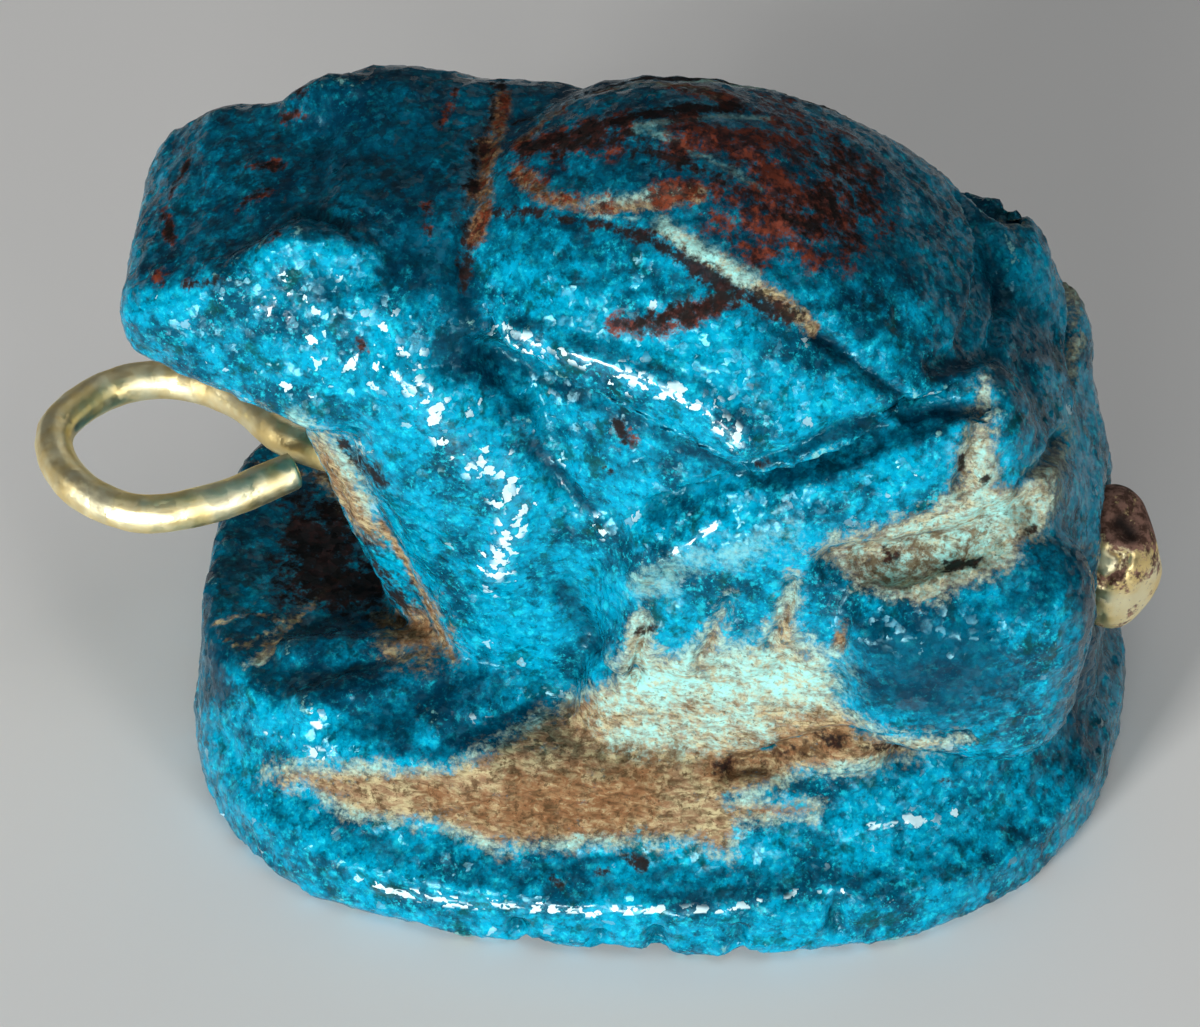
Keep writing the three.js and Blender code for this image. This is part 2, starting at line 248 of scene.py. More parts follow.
# %% Grooves, from the places where they show
GROOVES = {
    # name: (points in the picture's pixels, half width in mm, height in mm)
    "back_valley": ([(478, 345), (545, 372), (610, 404), (680, 438), (738, 466)], 0.42, -0.18),
    "thigh_valley": ([(748, 464), (790, 452), (837, 427), (892, 412), (929, 405), (969, 407)], 0.34, -0.2),
    "arm_valley": ([(500, 400), (530, 440), (560, 475), (590, 506)], 0.6, -0.14),
    "arm_foot": ([(560, 590), (590, 640), (604, 672)], 0.5, -0.22),
    "toe_gap_1": ([(644, 618), (640, 650), (634, 682)], 0.24, -0.22),
    "toe_gap_2": ([(726, 604), (712, 636), (700, 664)], 0.24, -0.22),
    "toe_gap_3": ([(792, 586), (784, 616), (768, 650)], 0.24, -0.22),
    "toe_gap_4": ([(846, 622), (838, 645)], 0.22, -0.2),
    "over_lobe": ([(836, 566), (900, 562), (960, 544), (1036, 506)], 0.6, -0.42),
    "hip_cut": ([(984, 400), (978, 440), (962, 488)], 0.34, -0.3),
    "rump_cut": ([(1064, 434), (1046, 462), (1024, 486)], 0.3, -0.24),
    "rump_seam": ([(960, 196), (990, 240), (1004, 292), (992, 352)], 0.34, -0.2),
    "under_lobe": ([(735, 768), (798, 750), (840, 738), (905, 742), (962, 742)], 0.4, -0.3),
    "back_scratch": ([(818, 336), (845, 352), (868, 371), (906, 398)], 0.26, -0.16),
    "eye_cut": ([(305, 214), (330, 219), (358, 235)], 0.16, -0.14),
    "brow_line": ([(330, 200), (370, 212), (404, 240)], 0.12, -0.05),
    "foot_notch_1": ([(517, 927), (517, 950)], 0.34, -0.3),
    "foot_notch_2": ([(598, 936), (598, 960)], 0.3, -0.24),
    "foot_notch_3": ([(656, 936), (656, 962)], 0.34, -0.3),
    "foot_notch_4": ([(738, 932), (738, 956)], 0.3, -0.24),
    "foot_notch_5": ([(838, 906), (838, 930)], 0.34, -0.28),
}
CRESTS = {
    "back_crest": ([(470, 318), (554, 347), (591, 356), (638, 372), (703, 402), (744, 446)], 0.46, 0.16),
    "thigh_crest": ([(640, 574), (676, 548), (717, 520)], 0.34, 0.1),
    "flank_crest": ([(518, 414), (550, 450), (583, 478), (607, 530)], 0.34, 0.12),
    "foreleg_crest": ([(404, 374), (438, 415), (472, 470), (508, 512), (500, 572)], 0.8, 0.2),
    "brow_rise": ([(236, 104), (280, 84), (330, 80), (390, 90)], 2.0, 0.3),
    "eye_lid": ([(270, 228), (300, 207), (345, 212), (392, 240)], 0.14, 0.05),
}
ONE_SIDED = ("brow_rise", "back_scratch", "eye_cut", "eye_lid", "brow_line")


def both_sides(name, pixels, half_width):
    stroke = on_skin(skin_tree(frog), pixels)
    marks = nearness(points_of(frog), stroke, half_width)
    if name not in ONE_SIDED:
        marks = np.maximum(marks, nearness(points_of(frog), other_side(stroke), half_width))
    print(name, "marks", int((marks > 0).sum()), "points")
    return marks


for name, (pixels, half_width, height) in GROOVES.items():
    push(frog, both_sides(name, pixels, half_width), height)

# %% Places that were rubbed soft again
RUBBED = {
    # name: (points in the picture's pixels, reach in mm, rounds of smoothing)
    "arm_pit": ([(462, 340), (486, 364), (506, 390)], 1.1, 32),
    "valley": ([(560, 380), (640, 420), (738, 466)], 0.55, 19),
    "wrist": ([(545, 578), (565, 590), (580, 615)], 0.8, 21),
}
for name, (pixels, reach, rounds) in RUBBED.items():
    soften(frog, both_sides(name, pixels, reach), rounds)

# %% Crests, raised last so that they stay crisp
for name, (pixels, half_width, height) in CRESTS.items():
    push(frog, both_sides(name, pixels, half_width), height)


# %% [markdown]
# ## The hand-made surface
# No face of such a small carving is true. The stone was rubbed down by hand, and the glaze ran and
# blistered over it. Broad waves come from a soft cloud texture, and lumps and grains from finer
# ones. All of it is real shape, applied to the mesh, so that the outline shows it too.

# %% Waves, lumps and grains
def texture_of(name, kind, size, **settings):
    texture = bpy.data.textures.new(name, kind)
    texture.noise_scale = size
    for key, value in settings.items():
        setattr(texture, key, value)
    return texture


waves = texture_of("hand_rubbed_waves", "CLOUDS", 2.4, noise_depth=1)
lumps = texture_of("glaze_lumps", "CLOUDS", 0.75, noise_depth=2)
grains = texture_of("glaze_grains", "CLOUDS", 0.26, noise_depth=1)
for texture, height in ((waves, 0.16), (lumps, 0.12), (grains, 0.1)):
    apply_modifier(
        frog, "DISPLACE", direction="NORMAL", texture=texture, texture_coords="LOCAL",
        strength=height, mid_level=0.5,
    )
print("surface added:", len(frog.data.vertices), "points")

# %% [markdown]
# ## The flat underside
# The amulet stands on its underside, which was rubbed flat on a stone. The waves went a little below
# the table there. Cutting the skin off would open it, so the points that hang below the table are
# brought up to it instead, and the skin stays closed.

# %% Rub the underside flat
rubbed = points_of(frog)
print("lowest point before, mm:", round(float(rubbed[:, 2].min()), 3))
rubbed[:, 2] = np.maximum(rubbed[:, 2], 0)
frog.data.vertices.foreach_set("co", rubbed.ravel())
frog.data.update()


# %% [markdown]
# ## Where the glaze is worn, stained or crusted
# The glaze has worn off the near slope, the toes and the hip, and bare tan body shows there. Round
# it the glaze is thin and milky. Red-brown earth fills the hollows on the back. The upper faces, the
# valleys and other places where shade falls are darkened with painted shade, and white grains are
# painted as glints. Each of these is a mask: a number on every point of the skin.
# The masks are drawn in the picture's frame, as areas and as strokes. Every point of the skin is
# projected into the picture, and it takes a mark only if nothing stands between it and the camera.
# The far side takes the same marks, weaker, from a camera mirrored to that side. The materials break
# the edges up with noise, so that no mark looks painted.

# %% Project the skin into the picture
def in_picture(points, side=1):
    """Where the points show in the picture of that side's camera, in pixels."""
    mirror = np.array((1, side, 1))
    from_eye = points * mirror - np.array(eye_point)
    depth = -(from_eye @ np.array(to_camera)) / (DISTANCE * PIXELS_PER_MM)
    x = IMAGE_WIDTH / 2 + (from_eye @ np.array(to_right)) / depth
    y = IMAGE_HEIGHT / 2 - (from_eye @ np.array(to_top)) / depth
    return x, y


EDGE_SHARPNESS = 4
RAY_LIFT = 0.15
FAR_SIDE_STRENGTH = 0.8


def in_sight(tree, points, normals, side=1):
    """1 for each point that the camera of that side sees squarely, 0 for the hidden ones."""
    toward = to_camera * 1
    toward.y *= side
    seen = np.clip(normals @ np.array(toward) * EDGE_SHARPNESS, 0, 1)
    for index in np.nonzero(seen > 0)[0]:
        if tree.ray_cast(Vector(points[index]) + toward * RAY_LIFT, toward)[0] is not None:
            seen[index] = 0
    return seen


tree = skin_tree(frog)
points = points_of(frog)
normals = normals_of(frog)
views = []
for side, strength in ((1, 1.0), (-1, FAR_SIDE_STRENGTH)):
    x, y = in_picture(points, side)
    views.append((x, y, in_sight(tree, points, normals, side) * strength))
    print("side", side, "shows", int((views[-1][2] > 0).sum()), "points")


# %% Areas and strokes as masks
def from_line(x, y, line):
    """The distance in pixels from each point to the nearest piece of a line."""
    best = np.full(len(x), np.inf)
    for (x0, y0), (x1, y1) in zip(line, line[1:]):
        length = max((x1 - x0) ** 2 + (y1 - y0) ** 2, 1e-9)
        part = np.clip(((x - x0) * (x1 - x0) + (y - y0) * (y1 - y0)) / length, 0, 1)
        best = np.minimum(best, np.hypot(x - x0 - part * (x1 - x0), y - y0 - part * (y1 - y0)))
    return best


def inside(x, y, outline):
    result = np.zeros(len(x), dtype=bool)
    for (x0, y0), (x1, y1) in zip(outline, outline[1:] + outline[:1]):
        crosses = (y0 > y) != (y1 > y)
        rise = y1 - y0 if y1 != y0 else 1e-9
        result ^= crosses & (x < (x1 - x0) * (y - y0) / rise + x0)
    return result


def eased(value):
    value = np.clip(value, 0, 1)
    return value * value * (3 - 2 * value)


def drawn(marks, views):
    """A mask from marks: ("area", outline, soft edge, strength) or ("stroke", line, reach, strength)."""
    mask = np.zeros(len(views[0][0]))
    for x, y, sight_strength in views:
        for kind, line, reach, strength in marks:
            if kind == "area":
                away = from_line(x, y, line + line[:1])
                value = eased(0.5 + np.where(inside(x, y, line), away, -away) / (2 * reach))
            else:
                value = eased(1 - from_line(x, y, line) / reach)
            mask = np.maximum(mask, value * strength * sight_strength)
    return mask


def lay_mask(piece, name, values):
    attribute = piece.data.attributes.new(name, "FLOAT", "POINT")
    attribute.data.foreach_set("value", values.astype(np.float32))


# %% The worn, stained and crusted places, and the painted shade and glints
WORN_SLOPE = [
    (262, 774), (300, 766), (390, 769), (446, 767), (488, 749), (531, 723), (573, 698), (612, 678),
    (628, 640), (644, 610), (654, 650), (690, 660), (727, 598), (722, 650), (764, 648), (793, 578),
    (798, 640), (828, 652), (834, 700), (877, 733), (905, 739), (966, 738), (925, 752), (880, 764),
    (800, 774), (756, 792), (728, 800), (820, 803), (814, 817), (742, 822), (728, 860), (688, 842),
    (581, 842), (497, 849), (432, 824), (357, 817), (300, 786),
]
WORN_HIP = [
    (808, 552), (862, 529), (912, 514), (949, 497), (962, 445), (978, 404), (986, 372), (992, 424),
    (999, 479), (1022, 487), (1030, 474), (1051, 454), (1068, 430), (1062, 466), (1054, 504),
    (1039, 538), (1004, 569), (954, 590), (919, 606), (889, 592), (857, 587), (836, 562),
]
THROAT = [(296, 424), (330, 428), (372, 500), (384, 540), (350, 530), (318, 470)]
CHEST_PATCH = [(374, 610), (436, 604), (460, 660), (404, 662), (378, 648)]
PALE_SLOPE = [
    (630, 660), (700, 664), (768, 652), (826, 656), (836, 690), (790, 706), (700, 700), (610, 704),
]
BARE = [
    ("area", WORN_SLOPE, 26, 1.0),
    ("area", WORN_HIP, 22, 0.95),
    ("area", THROAT, 20, 1.0),
    ("area", CHEST_PATCH, 30, 0.8),
    ("stroke", [(841, 626), (839, 646)], 14, 0.9),
    ("stroke", [(485, 140), (486, 190), (474, 240)], 17, 0.85),
    ("stroke", [(518, 173), (552, 200), (608, 208), (664, 198), (700, 193)], 19, 0.8),
    ("stroke", [(664, 229), (698, 252), (737, 275), (776, 297), (812, 328)], 18, 0.82),
    ("stroke", [(380, 520), (420, 586), (456, 668)], 7, 0.9),
    ("stroke", [(213, 625), (250, 612), (290, 622)], 5, 0.6),
    ("stroke", [(222, 640), (246, 646), (262, 634)], 4, 0.6),
]
PALE = [
    ("area", PALE_SLOPE, 52, 0.95),
    ("area", [(590, 716), (700, 700), (785, 716), (770, 742), (690, 756), (600, 752)], 26, 0.55),
    ("stroke", WORN_SLOPE, 16, 0.4),
    ("area", WORN_HIP, 34, 0.54),
    ("stroke", [(640, 590), (700, 562), (790, 540)], 34, 0.5),
    ("stroke", [(660, 226), (698, 250), (750, 280)], 21, 0.72),
    ("stroke", [(590, 200), (640, 196), (680, 190)], 16, 0.5),
    ("stroke", [(633, 124), (672, 121), (722, 116), (773, 119)], 5, 0.8),
    ("stroke", [(583, 216), (640, 220)], 5, 0.7),
    ("stroke", [(1120, 400), (1122, 430)], 16, 0.4),
    ("stroke", [(296, 418), (340, 450), (372, 510)], 20, 0.55),
]
OCHRE = [
    ("area", [(540, 770), (656, 762), (668, 822), (600, 842), (500, 838), (470, 800)], 40, 0.9),
    ("area", [(812, 552), (880, 556), (900, 590), (850, 585)], 22, 0.7),
    ("stroke", [(430, 800), (520, 820)], 30, 0.6),
    ("stroke", [(716, 770), (760, 756), (798, 746), (850, 738)], 36, 0.7),
    ("stroke", [(485, 134), (486, 190), (470, 262)], 22, 1.0),
    ("stroke", [(518, 173), (552, 200), (608, 208)], 20, 0.8),
    ("stroke", [(790, 596), (772, 640)], 10, 0.6),
    ("stroke", [(726, 604), (704, 660)], 10, 0.6),
    ("stroke", [(644, 616), (640, 660)], 10, 0.6),
    ("stroke", [(760, 810), (816, 808)], 12, 0.9),
    ("stroke", [(841, 626), (839, 646)], 12, 1.0),
    ("area", THROAT, 16, 0.2),
    ("area", CHEST_PATCH, 26, 0.6),
]
EARTH_AND_CAVITY_SHADE_MARKS = [
    ("stroke", [(722, 768), (760, 758), (798, 750), (827, 740)], 24, 0.42),
    ("stroke", [(827, 740), (897, 746)], 11, 0.55),
    ("stroke", [(524, 150), (574, 134), (625, 120), (681, 108), (740, 108)], 11, 0.9),
    ("stroke", [(498, 213), (540, 212), (580, 222), (636, 230)], 10, 0.75),
    ("stroke", [(620, 228), (652, 238), (681, 258), (722, 284)], 18, 0.95),
    ("stroke", [(633, 322), (681, 314), (720, 299), (754, 297), (792, 318)], 21, 0.85),
    ("area", [(800, 166), (876, 186), (886, 218), (843, 254), (790, 246), (778, 212)], 26, 0.52),
    ("stroke", [(486, 128), (484, 150)], 12, 0.9),
    ("stroke", [(470, 250), (463, 290)], 10, 0.85),
    ("stroke", [(472, 140), (476, 200), (458, 262)], 7, 0.7),
    # Painted shade: the base in the dark cavity under the chest is painted brown to near black.
    ("area", [(284, 500), (340, 520), (372, 560), (420, 600), (360, 612), (290, 600)], 30, 1.0),
    ("stroke", [(340, 440), (382, 482)], 13, 0.8),
    ("stroke", [(962, 456), (962, 474)], 8, 0.9),
    ("stroke", [(884, 550), (896, 554)], 10, 0.9),
    ("stroke", [(944, 568), (976, 562)], 9, 0.95),
    ("stroke", [(982, 480), (986, 478)], 8, 0.8),
    ("stroke", [(1016, 538), (1034, 530)], 10, 0.7),
    ("stroke", [(556, 880), (562, 884)], 10, 0.8),
    ("stroke", [(600, 869), (606, 872)], 9, 0.8),
    ("stroke", [(630, 858), (642, 866)], 11, 0.8),
    ("stroke", [(618, 426), (624, 440)], 13, 0.85),
    ("stroke", [(606, 466), (612, 474)], 7, 0.7),
    ("stroke", [(758, 462), (768, 462)], 8, 0.7),
    ("stroke", [(1122, 500), (1124, 540)], 6, 0.4),
    ("stroke", [(284, 86), (304, 92)], 11, 0.8),
    ("stroke", [(286, 118), (300, 117)], 9, 0.75),
    ("stroke", [(250, 168), (274, 166)], 9, 0.75),
    ("stroke", [(166, 218), (170, 236)], 8, 0.7),
    ("stroke", [(184, 286), (220, 280)], 9, 0.7),
    ("stroke", [(427, 206), (429, 236)], 9, 0.6),
    ("stroke", [(362, 344), (366, 346)], 8, 0.8),
    ("stroke", [(640, 630), (660, 626)], 7, 0.6),
    ("stroke", [(620, 672), (640, 668)], 8, 0.6),
    ("stroke", [(806, 614), (822, 612)], 7, 0.7),
    ("stroke", [(943, 780), (956, 786)], 9, 0.6),
]
RUST = [
    ("stroke", [(681, 120), (731, 145), (765, 167), (798, 196), (850, 222)], 24, 1.0),
    ("stroke", [(660, 196), (700, 190), (776, 202)], 26, 0.8),
    ("area", [(760, 160), (876, 180), (892, 222), (840, 264), (760, 262), (700, 226)], 34, 0.66),
    ("stroke", [(524, 150), (574, 134), (625, 120)], 18, 0.8),
    ("stroke", [(518, 172), (552, 196), (608, 206)], 22, 0.6),
    ("stroke", [(484, 150), (486, 200), (470, 262)], 12, 0.55),
    ("stroke", [(620, 326), (660, 324), (720, 304)], 22, 0.9),
    ("stroke", [(282, 84), (304, 92)], 14, 0.8),
    ("stroke", [(286, 119), (300, 117)], 10, 0.7),
    ("stroke", [(250, 167), (278, 165)], 10, 0.66),
    ("stroke", [(166, 216), (171, 240)], 10, 0.62),
    ("stroke", [(184, 286), (196, 280)], 9, 0.56),
    ("stroke", [(427, 206), (429, 236)], 11, 0.62),
    ("stroke", [(184, 150), (194, 147)], 8, 0.56),
    ("stroke", [(360, 342), (366, 348)], 11, 0.9),
    ("stroke", [(630, 430), (634, 444)], 11, 0.8),
]
# Painted shade: these marks darken the upper faces, the valleys, the neck behind the cheek, the pit by the
# paw, the lobe, the plinth's rear and its left edge, where shade falls.
PAINTED_SHADE = [
    ("area", [(300, 70), (420, 70), (470, 110), (470, 260), (420, 320), (360, 230), (280, 200)], 60, 1.0),
    ("area", [(130, 150), (300, 60), (300, 200), (200, 280), (130, 290)], 50, 0.6),
    ("area", [(540, 140), (700, 120), (900, 200), (960, 300), (820, 300), (600, 230)], 60, 0.8),
    ("area", [(960, 200), (1100, 360), (1010, 380), (930, 300)], 60, 0.8),
    ("stroke", [(204, 440), (206, 560), (212, 690)], 44, 0.95),
    ("area", [(850, 610), (1000, 600), (1030, 700), (940, 736), (860, 710)], 50, 1.0),
    ("stroke", [(1020, 600), (1080, 560), (1100, 620), (1070, 760)], 50, 0.75),
    ("stroke", [(560, 590), (590, 630), (606, 668)], 24, 0.7),
    ("stroke", [(318, 280), (330, 292)], 30, 0.75),
    ("stroke", [(478, 348), (545, 378), (610, 412), (680, 446), (738, 470)], 17, 0.8),
    ("stroke", [(748, 466), (790, 456), (837, 432), (892, 416), (969, 408)], 15, 0.8),
    ("stroke", [(486, 376), (500, 408), (530, 440), (560, 475), (590, 506)], 20, 0.75),
    ("stroke", [(818, 336), (845, 352), (868, 371), (906, 398)], 9, 0.85),
    ("stroke", [(606, 480), (640, 462), (700, 470)], 20, 0.5),
    ("stroke", [(440, 240), (466, 320), (452, 360)], 50, 1.0),
    ("stroke", [(410, 700), (500, 690)], 34, 0.6),
    ("stroke", [(330, 285), (350, 330)], 18, 0.7),
]
BAND_RIM = [(372, 888), (413, 896), (470, 903), (525, 908), (600, 911), (688, 909), (756, 904)]
# Glossy glaze for the coat. The same marks also pick where white grains are painted as glints.
GLOSS_AND_GLINT_MARKS = [
    ("stroke", BAND_RIM, 9, 1.0),
    ("stroke", [(784, 896), (820, 893), (855, 890)], 6, 0.9),
    ("stroke", [(871, 828), (898, 822), (925, 818)], 8, 0.9),
    ("stroke", [(902, 706), (922, 702)], 12, 0.85),
    ("stroke", [(267, 732), (300, 748), (328, 750)], 10, 0.8),
    ("stroke", [(314, 721), (320, 726)], 10, 0.7),
    ("stroke", [(676, 553), (717, 524)], 9, 0.9),
    ("stroke", [(404, 374), (438, 415), (472, 470), (501, 466), (516, 509), (496, 572)], 34, 0.75),
    ("stroke", [(495, 326), (591, 362), (703, 402), (740, 444)], 26, 0.72),
    ("stroke", [(518, 422), (560, 470), (605, 533)], 16, 0.5),
    ("stroke", [(452, 714), (490, 722), (517, 742)], 8, 0.6),
    ("area", [(240, 300), (320, 260), (420, 340), (480, 420), (400, 400), (300, 350)], 50, 0.4),
]
# Painted shade on the upper faces too: the more a point faces up, the darker it is painted.
FLAT_TOP_SHADE = 0.75
UPWARD_START = 0.45
UPWARD_RANGE = 0.5
MASKS = {
    "bare_body": BARE, "pale_glaze": PALE, "ochre": OCHRE,
    "earth_and_cavity_shade": EARTH_AND_CAVITY_SHADE_MARKS, "rust": RUST, "painted_shade": PAINTED_SHADE, "gloss_and_glints": GLOSS_AND_GLINT_MARKS,
}
for name, marks in MASKS.items():
    values = drawn(marks, views)
    if name == "painted_shade":
        upward = eased((normals[:, 2] - UPWARD_START) / UPWARD_RANGE)
        values = np.maximum(values, FLAT_TOP_SHADE * upward)
    lay_mask(frog, name, values)
    print(name, "covers", int((values > 0.5).sum()), "points")


# %% [markdown]
# ## Ridges and hollows
# Glaze runs thin over ridges and pools in hollows, so ridges look whitish and hollows look darker.
# The skin is compared with a smoothed copy of itself: where it stands out it is a ridge.

# %% Ridge and hollow masks
def smoothed(piece, points, rounds):
    edges = np.empty(len(piece.data.edges) * 2, dtype=np.int64)
    piece.data.edges.foreach_get("vertices", edges)
    one, two = edges[0::2], edges[1::2]
    degree = np.bincount(edges, minlength=len(points)).clip(1)[:, None]
    result = points.copy()
    for _ in range(rounds):
        total = np.zeros_like(result)
        for axis in range(3):
            total[:, axis] += np.bincount(one, result[two, axis], len(points))
            total[:, axis] += np.bincount(two, result[one, axis], len(points))
        result = total / degree
    return result


SMOOTHING_ROUNDS = 11
RIDGE_START, RIDGE_RANGE = 0.02, 0.07
HOLLOW_START, HOLLOW_RANGE = 0.01, 0.08
standing_out = np.einsum("ij,ij->i", points - smoothed(frog, points, SMOOTHING_ROUNDS), normals)
lay_mask(frog, "ridge", np.clip((standing_out - RIDGE_START) / RIDGE_RANGE, 0, 1))
lay_mask(frog, "hollow", np.clip((-standing_out - HOLLOW_START) / HOLLOW_RANGE, 0, 1))
print("standing out, mm:", round(float(standing_out.min()), 3), "to", round(float(standing_out.max()), 3))


# %% [markdown]
# ## Bringing the frog back to metres
# A finished piece lies in the same frame as the solid that it stands for. Its size is scaled back,
# the piece takes the solid's place, and it rides on the same body.

# %% Finish the frog piece
def finish_piece(piece, node):
    bpy.ops.object.select_all(action="DESELECT")
    piece.select_set(True)
    bpy.context.view_layer.objects.active = piece
    piece.scale = (MM, MM, MM)
    bpy.ops.object.transform_apply(location=False, rotation=False, scale=True)
    bpy.ops.object.shade_smooth()
    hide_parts(node)
    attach(piece, "root")
    print(piece.name, "triangles:", sum(len(polygon.vertices) - 2 for polygon in piece.data.polygons))


finish_piece(frog, "frog_body")


# %% [markdown]
# ## The gold wire
# The wire was drawn and bent by hand, and its rear end was melted back into a knob. Its skin is made
# in the same way as the frog's, with a finer voxel. Shallow dents from the hammer and pliers are
# pressed in with a cloud texture.

# %% Wire skin
WIRE_VOXEL = 0.055
wire = working_copy("gold_wire", "gold_wire_loop")
apply_modifier(wire, "REMESH", mode="VOXEL", voxel_size=WIRE_VOXEL)
apply_modifier(wire, "SMOOTH", factor=0.5, iterations=12)
dents = texture_of("plier_dents", "CLOUDS", 0.8, noise_depth=1)
apply_modifier(
    wire, "DISPLACE", direction="NORMAL", texture=dents, texture_coords="LOCAL",
    strength=0.045, mid_level=0.45,
)
SWIRL = [(1090, 572), (1104, 584), (1120, 574), (1126, 556), (1112, 550)]
HOLLOW = [(1120, 522), (1130, 532)]
for line, half_width, height in ((SWIRL, 0.16, -0.14), (HOLLOW, 0.3, -0.25)):
    push(wire, nearness(points_of(wire), on_skin(skin_tree(wire), line), half_width), height)
KNOB_START = 8.0
# The knob's upper side, brown from earth and from painted shade.
KNOB_EARTH_AND_SHADE = [
    ("area", [(1070, 440), (1160, 440), (1160, 548), (1126, 552), (1100, 536), (1078, 546)], 16, 1.0),
    ("stroke", SWIRL, 9, 0.62),
]
column, row = in_picture(points_of(wire))
on_knob = np.clip((points_of(wire)[:, 0] - KNOB_START) / 0.6, 0, 1)
lay_mask(wire, "knob", on_knob * np.maximum(0.25, drawn(KNOB_EARTH_AND_SHADE, [(column, row, 1.0)])))
lay_mask(wire, "black", on_knob * drawn([("stroke", HOLLOW, 16, 1.0)], [(column, row, 1.0)]))
finish_piece(wire, "gold_wire")


# %% [markdown]
# ## Shared effects as node groups
# Several finishes need the same two effects. The first breaks the soft edge of a mask into flecks.
# The second is a surface of tiny grains: it gives a turned normal, a height for the bump and a tone.
# Each is built once as a group with named sockets and placed in a material with values of its own.

# %% Node helpers
def new_group(name, inputs, outputs):
    group = bpy.data.node_groups.new(name, "ShaderNodeTree")
    for label, default in inputs.items():
        socket = group.interface.new_socket(name=label, in_out="INPUT", socket_type="NodeSocketFloat")
        socket.default_value = default
    for label, kind in outputs.items():
        group.interface.new_socket(name=label, in_out="OUTPUT", socket_type="NodeSocket" + kind)
    return group


def add(tree, kind, links=None, **settings):
    """Adds a node, sets its properties and the plain values of its sockets, and links the rest."""
    node = tree.nodes.new("ShaderNode" + kind)
    for name, value in settings.items():
        setattr(node, name, value)
    for socket, source in (links or {}).items():
        if isinstance(source, bpy.types.NodeSocket):
            tree.links.new(source, node.inputs[socket])
        else:
            node.inputs[socket].default_value = source
    return node


def mixed(tree, factor, one, two, blend="MIX"):
    node = add(tree, "Mix", {0: factor, 6: one, 7: two}, data_type="RGBA", blend_type=blend)
    return node.outputs[2]


def ranged(tree, value, low, high, to_low=0.0, to_high=1.0):
    links = {"Value": value, "From Min": low, "From Max": high, "To Min": to_low, "To Max": to_high}
    return add(tree, "MapRange", links, interpolation_type="SMOOTHSTEP").outputs[0]


def calculated(tree, operation, one, two=0.0):
    return add(tree, "Math", {0: one, 1: two}, operation=operation).outputs[0]


def coordinates(tree):
    return add(tree, "TexCoord").outputs["Object"]


def noise(tree, where, scale, detail=3.0, roughness=0.55, twist=0.0):
    links = {"Vector": where, "Scale": scale, "Detail": detail, "Roughness": roughness, "Distortion": twist}
    return add(tree, "TexNoise", links).outputs[0]


def new_material(name):
    """An empty material with one Principled shader that reaches the output."""
    material = bpy.data.materials.new(name)
    material.use_nodes = True
    tree = material.node_tree
    tree.nodes.clear()
    shader = add(tree, "BsdfPrincipled")
    tree.links.new(shader.outputs[0], add(tree, "OutputMaterial").inputs[0])
    return material, tree, shader


# %% The group that breaks a mask's edge into flecks
flecked_edge = new_group(
    "flecked_edge",
    {"Mask": 0.0, "Fleck Scale": 6000.0, "Spread": 0.5, "Softness": 0.08},
    {"Mask": "Float"},
)
entry = flecked_edge.nodes.new("NodeGroupInput")
leave = flecked_edge.nodes.new("NodeGroupOutput")
here = coordinates(flecked_edge)
coarse = noise(flecked_edge, here, 1700.0, 4.0, 0.65)
small = noise(flecked_edge, here, entry.outputs["Fleck Scale"], 4.0, 0.7)
both = calculated(flecked_edge, "ADD", coarse, small)
centred = calculated(flecked_edge, "SUBTRACT", both, 1.0)
reach = calculated(flecked_edge, "MULTIPLY", entry.outputs["Spread"], 2.2)
shift = calculated(flecked_edge, "MULTIPLY", centred, reach)
moved = calculated(flecked_edge, "ADD", entry.outputs["Mask"], shift)
low = calculated(flecked_edge, "SUBTRACT", 0.5, entry.outputs["Softness"])
high = calculated(flecked_edge, "ADD", 0.5, entry.outputs["Softness"])
broken = ranged(flecked_edge, moved, low, high)
gate = ranged(flecked_edge, entry.outputs["Mask"], 0.02, 0.25)
flecked_edge.links.new(calculated(flecked_edge, "MULTIPLY", broken, gate), leave.inputs["Mask"])


# %% The group that gives a sugary surface of tiny tilted facets
HALF_WAY = (0.5, 0.5, 0.5)
CELL_WOBBLE = 0.0003
sugar_facets = new_group(
    "sugar_facets",
    {"Facet Scale": 4000.0, "Tilt": 0.3},
    {"Normal": "Vector", "Height": "Float", "Tone": "Float", "Pick": "Float"},
)
entry = sugar_facets.nodes.new("NodeGroupInput")
leave = sugar_facets.nodes.new("NodeGroupOutput")
here = coordinates(sugar_facets)
wobble = add(sugar_facets, "TexNoise", {"Vector": here, "Scale": 6000.0, "Detail": 3.0}).outputs["Color"]
shaken = add(sugar_facets, "VectorMath", {0: wobble, 1: HALF_WAY}, operation="SUBTRACT").outputs[0]
scaled = add(sugar_facets, "VectorMath", {0: shaken, 3: CELL_WOBBLE}, operation="SCALE").outputs[0]
where = add(sugar_facets, "VectorMath", {0: here, 1: scaled}, operation="ADD").outputs[0]
cells = add(sugar_facets, "TexVoronoi", {"Vector": where, "Scale": entry.outputs["Facet Scale"]})
picked = {0: cells.outputs["Color"], 1: HALF_WAY}
centred = add(sugar_facets, "VectorMath", picked, operation="SUBTRACT").outputs[0]
by_tilt = {0: centred, 3: entry.outputs["Tilt"]}
tilt = add(sugar_facets, "VectorMath", by_tilt, operation="SCALE").outputs[0]
straight = add(sugar_facets, "NewGeometry").outputs["Normal"]
turned = add(sugar_facets, "VectorMath", {0: straight, 1: tilt}, operation="ADD").outputs[0]
facet = add(sugar_facets, "VectorMath", {0: turned}, operation="NORMALIZE").outputs[0]
sugar_facets.links.new(facet, leave.inputs["Normal"])
dust = noise(sugar_facets, where, 11000.0, 4.0, 0.7)
sugar_facets.links.new(dust, leave.inputs["Height"])
tone = calculated(sugar_facets, "ADD", cells.outputs["Distance"], dust)
